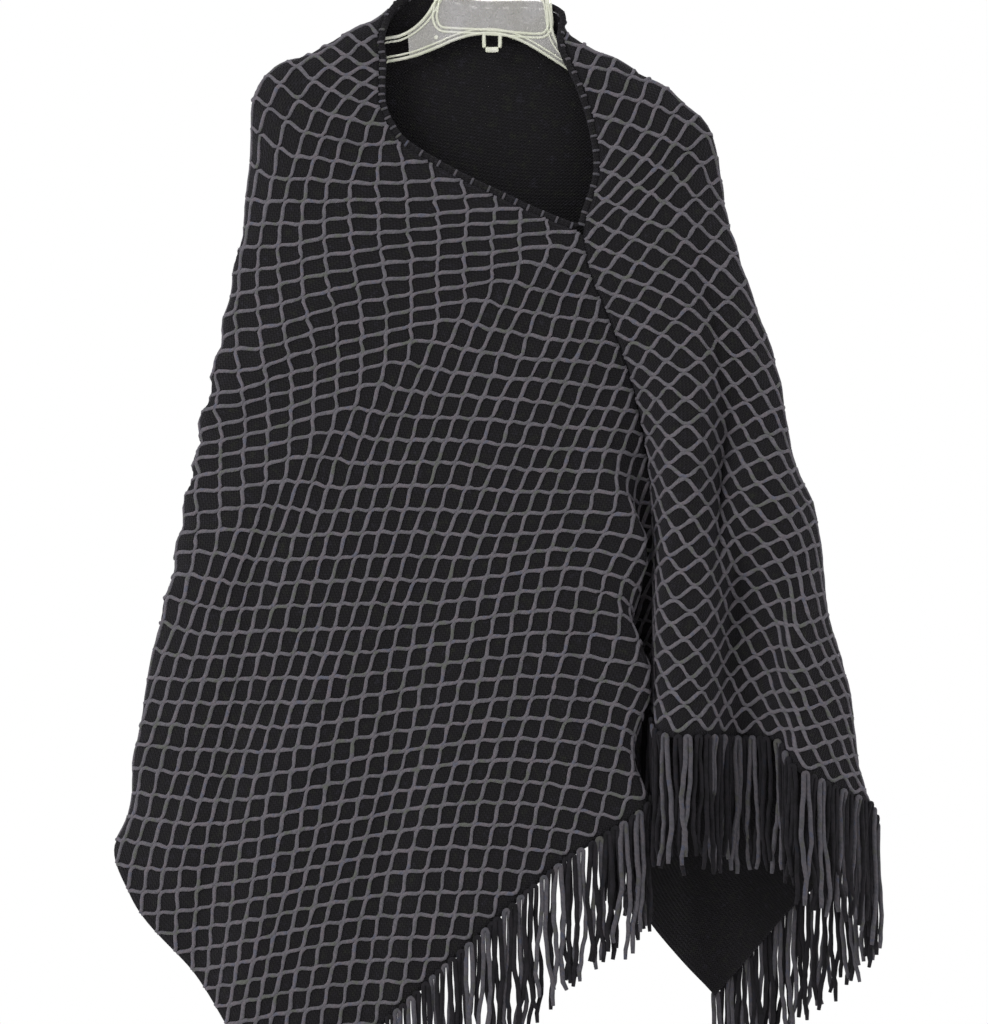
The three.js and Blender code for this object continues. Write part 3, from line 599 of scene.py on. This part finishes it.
def clothShell(name, fromRow, toRow):
    rows = np.linspace(fromRow, toRow, cloth["shellRows"] + 1)[:, None]
    across = np.linspace(0, 1, cloth["shellColumns"] + 1)[None, :]
    outer, _ = faceAt(rows, across, cloth["wall"] / 2)
    inner, _ = faceAt(rows, across, -cloth["wall"] / 2)
    points = np.concatenate([outer.reshape(-1, 3), inner.reshape(-1, 3)])
    lay = np.stack(np.broadcast_arrays(across * cloth["width"], rows * cloth["rowPitch"]), axis=-1)
    bothLays = np.concatenate([lay, lay]).reshape(-1, 2)
    return makeMesh(name, points, wallFaces(*outer.shape[:2]), noTriangles, bothLays, [jersey])


halfGap = 0.0003 / 2 / cloth["rowPitch"]    # in rows, between the halves at the shoulder
frontKnit = place(clothShell("frontKnit", 0, cloth["shoulderRow"] - halfGap), "knit",
                  "front_lower", "front_upper")
backKnit = place(clothShell("backKnit", cloth["shoulderRow"] + halfGap, cloth["rowsInAll"]), "knit",
                 "back_upper", "back_lower")

# The net: wavy yarns, two to a row, each half a wave off from its neighbours, so that they meet and part.
net = {
    "perRow": 2,
    "cells": 21,
    "edge": 0.001,       # share of the width left at each side
    "wave": 0.22,        # rows
    "wander": ((0.12, 31, 1.7), (0.08, 83, 4.1)),    # share of the wave, turns across, and from row to row
    "halfWidth": 0.00195,
    "halfHeight": 0.0014,
    "rise": 0.0004,      # of its centre over the cloth
    "perCell": 8,
    "sides": 6,
    "uneven": 0.12,
}


# A yarn's row is its own row plus wave * cosine(2 pi * cells * across), turned over on every other yarn.
def netOver(name, firstYarn, lastYarn):
    yarns = np.arange(firstYarn, lastYarn + 1)[:, None]
    across = np.linspace(net["edge"], 1 - net["edge"], net["cells"] * net["perCell"] + 1)[None, :]
    rng = np.random.default_rng(firstYarn)
    wander = 1
    for share, overWidth, overRows in net["wander"]:
        wander = wander + share * np.sin(across * overWidth + yarns * overRows)
    rows = yarns / net["perRow"] + net["wave"] * wander * np.cos(
        2 * np.pi * net["cells"] * across + np.pi * yarns)
    centres, normals = faceAt(rows, across, cloth["wall"] / 2 + net["rise"])
    along = unit(np.gradient(centres, axis=1))
    uneven = 1 + net["uneven"] * rng.standard_normal(centres.shape[:2])
    points, quads, caps, lay = tubes(centres, np.cross(normals, along), normals, net["halfWidth"] * uneven,
                                     net["halfHeight"] * uneven, net["sides"])
    return makeMesh(name, points, quads, caps, lay, [netYarn])


# The net's nap: fine fibres that stand off the yarns, each a slim closed spike on three sides.
nap = {
    "count": 20000,        # on each half
    "edge": 0.004,         # share of the width left at each side
    "step": 0.002,         # share of the width that shows which way the yarn runs
    "base": 0.00014,
    "short": 0.0010,
    "long": 0.0030,
    "lift": 0.45,          # of a fibre's way that goes out of the cloth
    "rootOut": 0.8,        # of the way from the yarn's middle to its surface
    "skew": 0.01,          # turn of a fibre's section towards the yarn's way
}


# Each fibre starts near a yarn's surface, goes its own way round it, and ends in a point.
def netNap(name, firstYarn, lastYarn, seed):
    rng = np.random.default_rng(seed)
    count = nap["count"]
    yarns = rng.integers(firstYarn, lastYarn + 1, count)
    across = rng.uniform(nap["edge"], 1 - nap["edge"], count)
    rows = yarns / net["perRow"] + net["wave"] * np.cos(2 * np.pi * net["cells"] * across + np.pi * yarns)
    centre, normal = faceAt(rows, across, cloth["wall"] / 2 + net["rise"])
    ahead, _ = faceAt(rows, across + nap["step"], cloth["wall"] / 2)
    behind, _ = faceAt(rows, across - nap["step"], cloth["wall"] / 2)
    along = unit(ahead - behind)
    beside = np.cross(normal, along)
    turn = rng.uniform(0, 2 * np.pi, count)[:, None]
    way = unit(along * np.cos(turn) + beside * np.sin(turn) + normal * nap["lift"])
    toSurface = beside * np.sin(turn) * net["halfWidth"] + normal * net["halfHeight"] * nap["lift"]
    root = centre + toSurface * nap["rootOut"]
    sideOne = unit(np.cross(way, normal + nap["skew"] * along))
    sideTwo = np.cross(way, sideOne)
    angle = 2 * np.pi * np.arange(3) / 3
    ring = root[:, None] + nap["base"] / 2 * (sideOne[:, None] * np.cos(angle)[:, None]
                                             + sideTwo[:, None] * np.sin(angle)[:, None])
    tip = root + way * rng.uniform(nap["short"], nap["long"], (count, 1))
    points = np.concatenate([ring, tip[:, None]], axis=1).reshape(-1, 3)
    faces = np.array([(0, 1, 3), (1, 2, 3), (2, 0, 3), (0, 2, 1)])
    triangles = (4 * np.arange(count)[:, None, None] + faces).reshape(-1, 3)
    lay = np.repeat(np.stack([across * cloth["width"], yarns * yarnLay["apart"]], axis=1), 4, axis=0)
    return makeMesh(name, points, noQuads, triangles, lay, [netYarn])


shoulderYarn = net["perRow"] * cloth["shoulderRow"]
lastYarn = net["perRow"] * cloth["rowsInAll"] - 1
frontNet = place(netOver("frontNet", 1, shoulderYarn), "yarn")
backNet = place(netOver("backNet", shoulderYarn + 1, lastYarn), "yarn")
frontNap = place(netNap("frontNap", 1, shoulderYarn, 21), "yarn")
backNap = place(netNap("backNap", shoulderYarn + 1, lastYarn, 22), "yarn")
print("cloth and net made")

# The neck roll: a knitted tube round the neck edge, and the net's ends that wrap it. A ring's point is the
# edge's own, moved out of the cloth by the radius and the gap, plus the ribbed radius round it.
roll = {
    "radius": 0.0033,
    "gap": 0.0002,
    "rings": 221,
    "sides": 12,
    "margin": 0.5,         # rows from the point of the V
    "rib": 0.05,           # share of the radius
    "ribPitch": 0.004,
    "layRound": 0.02,
    "stitchHalfWidth": 0.0013,
    "stitchHalfHeight": 0.0008,
    "stitchFrom": -0.35,   # turns round the roll, from the cloth's outer face
    "stitchTo": 0.2,
    "stitchPoints": 9,
    "stitchSides": 6,
    "stitchOut": 0.4,      # of its half height, over the roll
    "stitchWander": (0.0012, 2.3),    # along the roll, and its turn from row to row
}


# The roll's middle, and the ways out of the cloth's edge, out of its face and along it.
def rollFrames(rows):
    edge = clothAt(rows, 0.0)
    along = unit(clothAt(rows + cloth["rowStep"], 0.0) - clothAt(rows - cloth["rowStep"], 0.0))
    inward = clothAt(rows, cloth["rollStep"]) - edge
    outward = -unit(inward - along * np.sum(inward * along, axis=-1, keepdims=True))
    centre = edge + outward * (roll["radius"] + roll["gap"])
    return centre, outward, unit(np.cross(outward, along)), along


def neckRoll():
    start = cloth["neckRow"] + roll["margin"]
    rows = np.linspace(start, cloth["rowsInAll"] - start, roll["rings"])
    centre, outward, face, _ = rollFrames(rows)
    angle = 2 * np.pi * np.arange(roll["sides"]) / roll["sides"]
    turns = rows * cloth["rowPitch"] / roll["ribPitch"]
    rib = roll["radius"] * (1 + roll["rib"] * np.cos(2 * np.pi * turns))
    points = (centre[:, None] + outward[:, None] * (rib[:, None] * np.cos(angle))[..., None]
              + face[:, None] * (rib[:, None] * np.sin(angle))[..., None])
    at = np.arange(points.shape[0] * points.shape[1]).reshape(points.shape[:2])
    ahead = np.roll(at, -1, axis=0)
    quads = np.stack([at, np.roll(at, -1, axis=1), np.roll(ahead, -1, axis=1), ahead], axis=-1).reshape(-1, 4)
    around = roll["layRound"] * np.arange(roll["sides"]) / roll["sides"]
    lay = np.stack(np.broadcast_arrays(rows[:, None] * cloth["rowPitch"], around), axis=-1).reshape(-1, 2)
    return makeMesh("neckRoll", points.reshape(-1, 3), quads, noTriangles, lay, [jersey])


def neckStitches():
    first = net["perRow"] * cloth["neckRow"] + 1
    last = net["perRow"] * (cloth["rowsInAll"] - cloth["neckRow"]) - 1
    rows = np.arange(first, last + 1) / net["perRow"]
    centre, outward, face, along = rollFrames(rows)
    turns = np.linspace(roll["stitchFrom"], roll["stitchTo"], roll["stitchPoints"])
    angle = 2 * np.pi * turns[None, :, None]
    spoke = -outward[:, None] * np.cos(angle) + face[:, None] * np.sin(-angle)
    wander, turn = roll["stitchWander"]
    paths = (centre[:, None] + spoke * (roll["radius"] + roll["stitchHalfHeight"] * roll["stitchOut"])
             + along[:, None] * wander * np.sin(turn * rows)[:, None, None])
    way = unit(np.gradient(paths, axis=1))
    full = np.ones(paths.shape[:2])
    points, quads, caps, lay = tubes(paths, np.cross(spoke, way), spoke, roll["stitchHalfWidth"] * full,
                                     roll["stitchHalfHeight"] * full, roll["stitchSides"])
    return makeMesh("neckStitches", points, quads, caps, lay, [greyYarn])


rollPiece = place(neckRoll(), "knit", "neck_roll")
stitchPiece = place(neckStitches(), "yarn")
print("neck made")

# The fringe: doubled yarns looped through the fringed ends, two grey ones in each five.
fringe = {
    "pairs": 68,
    "period": 5,           # pairs after which the colours repeat
    "greyPairs": (0, 2),
    "jitter": 0.2,         # of a pair's pitch
    "besideDrop": 0.3,     # share of the hem's slope that a pair keeps
    "endStep": 0.5,        # rows in from the end, which show the way out of it
    "strandLength": 0.122,
    "uneven": 0.011,
    "radius": 0.0023,
    "rings": 49,
    "crowding": 1.7,       # of the rings towards the loop's top
    "sides": 7,
    "loopRise": 0.0015,
    "loopOut": 0.0026,
    "hangOut": 0.00104,    # below the loop
    "settle": 0.02,        # length of strand over which it takes its place below the loop
    "stagger": 0.0016,     # one pair in front of the next
    "apart": 0.0023,
    "spreading": 0.0012,
    "sway": (0.0045, (0.5, 1.3)),        # a reach, and the range of its waves over a strand
    "swayOut": (0.00225, (0.4, 1.1)),
    "crimp": (0.0009, (3.5, 6.0)),
    "lean": 0.0045,
    "thickness": (0.92, 1.08),
    "endTaper": 0.8,
}


# A pair is one yarn from end to end over its loop: w runs from -1 to 1, and a strand hangs down by its
# length times |w|. The loop's top is half a circle: spread = apart * sqrt(1 - (1 - down / apart) squared).
# A strand sways by sines that grow with |w|.
def fringeAt(name, endRow, seed, *nodes):
    rng = np.random.default_rng(seed)
    pairs = fringe["pairs"]
    across = (np.arange(pairs) + 0.5 + fringe["jitter"] * rng.uniform(-1, 1, pairs)) / pairs
    root, normal = faceAt(float(endRow), across, cloth["wall"] / 2)
    inside, _ = faceAt(abs(endRow - fringe["endStep"]), across, cloth["wall"] / 2)
    away = unit(root - inside)
    beside = np.cross(normal, away)
    beside[:, 2] *= fringe["besideDrop"]
    beside = unit(beside)
    even = np.linspace(-1, 1, fringe["rings"])[None, :]
    w = np.sign(even) * np.abs(even) ** fringe["crowding"]
    side = np.sign(w)
    lengths = fringe["strandLength"] + fringe["uneven"] * rng.uniform(-1, 1, (pairs, 2))
    down = np.abs(w) * np.where(w < 0, lengths[:, :1], lengths[:, 1:])
    share = np.abs(w)

    def random(low, high):
        picked = rng.uniform(low, high, (pairs, 2))
        return np.where(w < 0, picked[:, :1], picked[:, 1:])

    def waved(reach, waves):
        return reach * share * np.sin(2 * np.pi * (random(*waves) * share + random(0, 1)))

    below = 1 - np.minimum(down / fringe["apart"], 1)
    wider = fringe["spreading"] * share * random(0, 2)
    spread = side * (fringe["apart"] * np.sqrt(1 - below ** 2) + wider)
    swayAcross = (waved(*fringe["sway"]) + fringe["lean"] * share ** 1.5 * random(-1, 1)
                  + waved(*fringe["crimp"]))
    settled = smooth(down / fringe["settle"])
    stagger = fringe["stagger"] * (-1) ** np.arange(pairs)[:, None]
    out = (fringe["loopOut"] + (fringe["hangOut"] - fringe["loopOut"] + stagger) * settled
           + waved(*fringe["swayOut"]))
    level = normal * [1, 1, 0]
    paths = (root[:, None] - away[:, None] * fringe["loopRise"]
             + beside[:, None] * (spread + swayAcross)[..., None]
             + unit(level)[:, None] * out[..., None]
             + np.array([0, 0, -1]) * down[..., None])
    way = unit(np.gradient(paths, axis=1))
    facing = unit(normal)[:, None] + np.zeros_like(way)
    acrossWay = unit(np.cross(facing, way))
    outWay = np.cross(way, acrossWay)
    taper = np.where(share < 1, 1, fringe["endTaper"])
    thick = fringe["radius"] * taper * random(*fringe["thickness"])
    points, quads, caps, lay = tubes(paths, acrossWay, outWay, thick, thick, fringe["sides"])
    colours = np.where(np.isin(np.arange(pairs) % fringe["period"], fringe["greyPairs"]), 0, 1)
    quadPicks = np.repeat(colours, (fringe["rings"] - 1) * fringe["sides"])
    capPicks = np.tile(np.repeat(colours, fringe["sides"]), 2)
    picks = np.concatenate([quadPicks, capPicks])
    piece = makeMesh(name, points, quads, caps, lay, [greyYarn, blackYarn], picks)
    return place(piece, "yarn", *nodes)


frontFringe = fringeAt("frontFringe", 0, 11, "front_fringe")
backFringe = fringeAt("backFringe", cloth["rowsInAll"], 12, "back_fringe")
print("fringe made")

# The hanger: a thin hazy web between two raised edges, a ribbed panel and a centre loop. Its lines are
# tables of x and z in millimetres, from the left tip to the right one.
hanger = {
    "webThickness": 0.0014,
    "webPoints": 150,      # along the whole hanger
    "webLines": 9,         # from its under edge to its top
    "rimPoints": 160,
    "panelPoints": 90,
    "barPoints": (20, 16),    # along a prong and the foot
    "outerBead": (0.0027, 0.0016),    # half depth and half height, as in the rows below
    "innerBead": (0.00189, 0.0011),
    "panelRib": (0.00216, 0.0014),
    "prong": (0.00228, 0.0019),
    "foot": (0.00228, 0.00266),
    "beadEnd": 0.6,        # of a bead's section, at its ends
    "edgeStep": 0.0040,    # from the rim's outer bead to its inner one
    "ribGap": 0.0038,
    "sprueAt": (-0.065, -0.108),
    "sprueDepths": (-0.0017, -0.0014, 0.0014),
    "sprueRadii": (0.00147, 0.0021, 0.0021),
}
hangerTop = [
    (-222, -179), (-204, -152), (-180, -142), (-140, -119), (-116, -109.5), (-100, -106.5), (-86, -99),
    (-74, -87), (-66, -74), (-60, -66), (-40, -63), (-8, -62), (28, -64), (40, -70), (44, -84),
    (47, -104), (58, -122), (78, -133), (108, -149), (148, -172), (166, -184), (176, -199)]
hangerUnder = [
    (-217, -183), (-196, -173), (-170, -160), (-136, -143), (-115, -132), (-98, -128.5), (-84, -125),
    (-71, -120), (-60, -115.5), (-50, -111), (-32, -105.5), (-13, -103.7), (1, -105.6), (12, -109),
    (25, -115.2), (38, -123), (54, -133), (74, -146), (102, -163), (142, -186), (160, -196), (174, -205)]
hangerWebs = [(0.0, 0.175), (0.262, 1.0)]    # shares of the hanger's length, with the window between them
panelPath = [
    (-60.5, -66), (-63.5, -80), (-64.3, -90), (-60.5, -97.4), (-50, -99), (-32.6, -99.8), (-3.8, -101.7),
    (30, -104.4), (38, -103.5), (42, -98), (41.5, -84), (40, -70)]
loopProngs = [[(-19.2, -103), (-19.2, -112), (-19, -118)], [(-3.8, -103), (-3.8, -112), (-4, -118)]]
loopFoot = [(-17.8, -119.4), (-11.5, -119.8), (-5.2, -119.4)]


# A line of x and z as points in the hanger's own plane.
def inPlane(line, count):
    curve = evenCurve(np.array(line) / 1000, count)
    return np.stack([curve[:, 0], np.zeros(count), curve[:, 1]], axis=1)


# A bead along a line, with its section's depth along Y.
def bead(path, halfDepth, halfHeight, sides=10):
    way = unit(np.gradient(path, axis=0))
    out = np.array([0.0, -1.0, 0.0]) + np.zeros_like(way)
    shape = np.ones(len(path))
    shape[[0, -1]] = hanger["beadEnd"]
    return tubes(path[None], np.cross(out, way)[None], out[None], (halfHeight * shape)[None],
                 (halfDepth * shape)[None], sides)


# A stretch of the web: under + (top - under) * up, between the hanger's two lines, as a thin wall.
def web(fromShare, toShare):
    knots = np.arange(len(hangerTop), dtype=float)
    count = round((toShare - fromShare) * hanger["webPoints"])
    at = np.linspace(fromShare, toShare, count) * knots[-1]
    top = curveThrough(knots, np.array(hangerTop) / 1000, at)
    under = curveThrough(knots, np.array(hangerUnder) / 1000, at)
    up = np.linspace(0, 1, hanger["webLines"])[None, :, None]
    flat = under[:, None] * (1 - up) + top[:, None] * up
    lay = flat.reshape(-1, 2)
    sides = [np.stack([flat[..., 0], np.full(flat.shape[:2], y), flat[..., 1]], axis=-1).reshape(-1, 3)
             for y in (-hanger["webThickness"] / 2, hanger["webThickness"] / 2)]
    return np.concatenate(sides), wallFaces(*flat.shape[:2]), noTriangles, np.concatenate([lay, lay])


# A line moved square to its own way, within the hanger's plane.
def movedIn(path, by):
    return path + unit(np.cross(np.gradient(path, axis=0), [0.0, -1.0, 0.0])) * by


def hangerBody():
    webs = [web(*shares) for shares in hangerWebs]
    rims = []
    for line, inwards in ((hangerTop, 1), (hangerUnder, -1)):
        edge = inPlane(line, hanger["rimPoints"])
        rims.append(bead(edge, *hanger["outerBead"]))
        rims.append(bead(movedIn(edge, inwards * hanger["edgeStep"]), *hanger["innerBead"]))
    panel = inPlane(panelPath, hanger["panelPoints"])
    for k in range(2):
        rims.append(bead(movedIn(panel, hanger["ribGap"] * k), *hanger["panelRib"]))
    for prong in loopProngs:
        rims.append(bead(inPlane(prong, hanger["barPoints"][0]), *hanger["prong"]))
    rims.append(bead(inPlane(loopFoot, hanger["barPoints"][1]), *hanger["foot"]))
    x, z = hanger["sprueAt"]
    drop = np.array([[(x, y, z) for y in hanger["sprueDepths"]]])
    radius = np.array([hanger["sprueRadii"]])
    right, down = np.array([[[1.0, 0, 0]] * 3]), np.array([[[0, 0, -1.0]] * 3])
    rims.append(tubes(drop, right, down, radius, radius, 12))
    body = joined(webs + rims)
    webQuads = sum(len(part[1]) for part in webs)
    picks = np.concatenate([np.zeros(webQuads), np.ones(len(body[1]) - webQuads + len(body[2]))])
    return makeMesh("hangerBody", *body, [webStyrene, rimStyrene], picks)


# The hook: a stem out of the panel, round an open circle whose inner top is the origin.
hook = {"wire": 0.0017, "radius": 0.0217, "from": -50, "to": 200, "stem": [(-7.6, -70), (-7, -64), (-3, -52)]}


def hangerHook():
    angle = np.radians(np.linspace(hook["from"], hook["to"], 25))
    circle = np.stack([hook["radius"] * np.cos(angle),
                       hook["radius"] * np.sin(angle) - hook["radius"] + hook["wire"]], axis=1)
    path = inPlane(np.concatenate([np.array(hook["stem"]), circle * 1000]), 140)
    return makeMesh("hangerHook", *bead(path, hook["wire"], hook["wire"], 16), [wire])


bodyPiece = place(hangerBody(), "clear_plastic", "hanger_body")
hookPiece = place(hangerHook(), "hook_steel", "hanger_hook")
print("hanger made")

# The studio: a near white room, a pale floor and soft lights.
studio = {
    "camera": (-0.0096, -3.5, -0.5635),
    "lens": 36 * 3.5 / 0.98304,
    "floorHeight": -1.42,
    "floorRadius": 2.4,
    "floorSides": 96,
    "aim": (0, 0, -0.55),
    "lights": [
        {"name": "key", "at": (-2.2, -2.2, 1.1), "size": 1.6, "power": 62},
        {"name": "fill", "at": (2.4, -2.4, -0.2), "size": 2.0, "power": 8},
        {"name": "back", "at": (0.6, 2.6, 0.8), "size": 2.0, "power": 40},
    ],
}


def makeStudio():
    scene = bpy.context.scene
    scene.view_settings.view_transform = "Standard"
    world = bpy.data.worlds.new("white room")
    world.use_nodes = True
    world.node_tree.nodes["Background"].inputs["Color"].default_value = (1, 1, 1, 1)
    world.node_tree.nodes["Background"].inputs["Strength"].default_value = 1.0
    scene.world = world
    sides = studio["floorSides"]
    index = np.arange(sides)
    angle = 2 * np.pi * index / sides
    rim = np.stack([np.cos(angle), np.sin(angle), np.zeros(sides)], axis=1) * studio["floorRadius"]
    points = np.concatenate([rim, [[0, 0, 0]]]) + np.array([0, 0, studio["floorHeight"]])
    fan = np.stack([np.full(sides, sides), index, np.roll(index, -1)], axis=1)
    floor = makeMesh("floor", points, noQuads, fan, points[:, :2], [floorPaper()])
    for one in studio["lights"]:
        lamp = bpy.data.lights.new(one["name"], "AREA")
        lamp.shape = "DISK"
        lamp.size = one["size"]
        lamp.energy = one["power"]
        holder = bpy.data.objects.new(one["name"], lamp)
        holder.location = one["at"]
        aim = np.array(studio["aim"]) - np.array(one["at"])
        flat = np.hypot(aim[0], aim[1])
        holder.rotation_euler = (np.arctan2(flat, -aim[2]), 0, np.arctan2(-aim[0], aim[1]))
        scene.collection.objects.link(holder)
    camera = bpy.data.objects.new("camera", bpy.data.cameras.new("camera"))
    camera.location = studio["camera"]
    camera.rotation_euler = (np.pi / 2, 0, 0)
    camera.data.lens = studio["lens"]
    scene.collection.objects.link(camera)
    scene.camera = camera


makeStudio()
print("studio made")
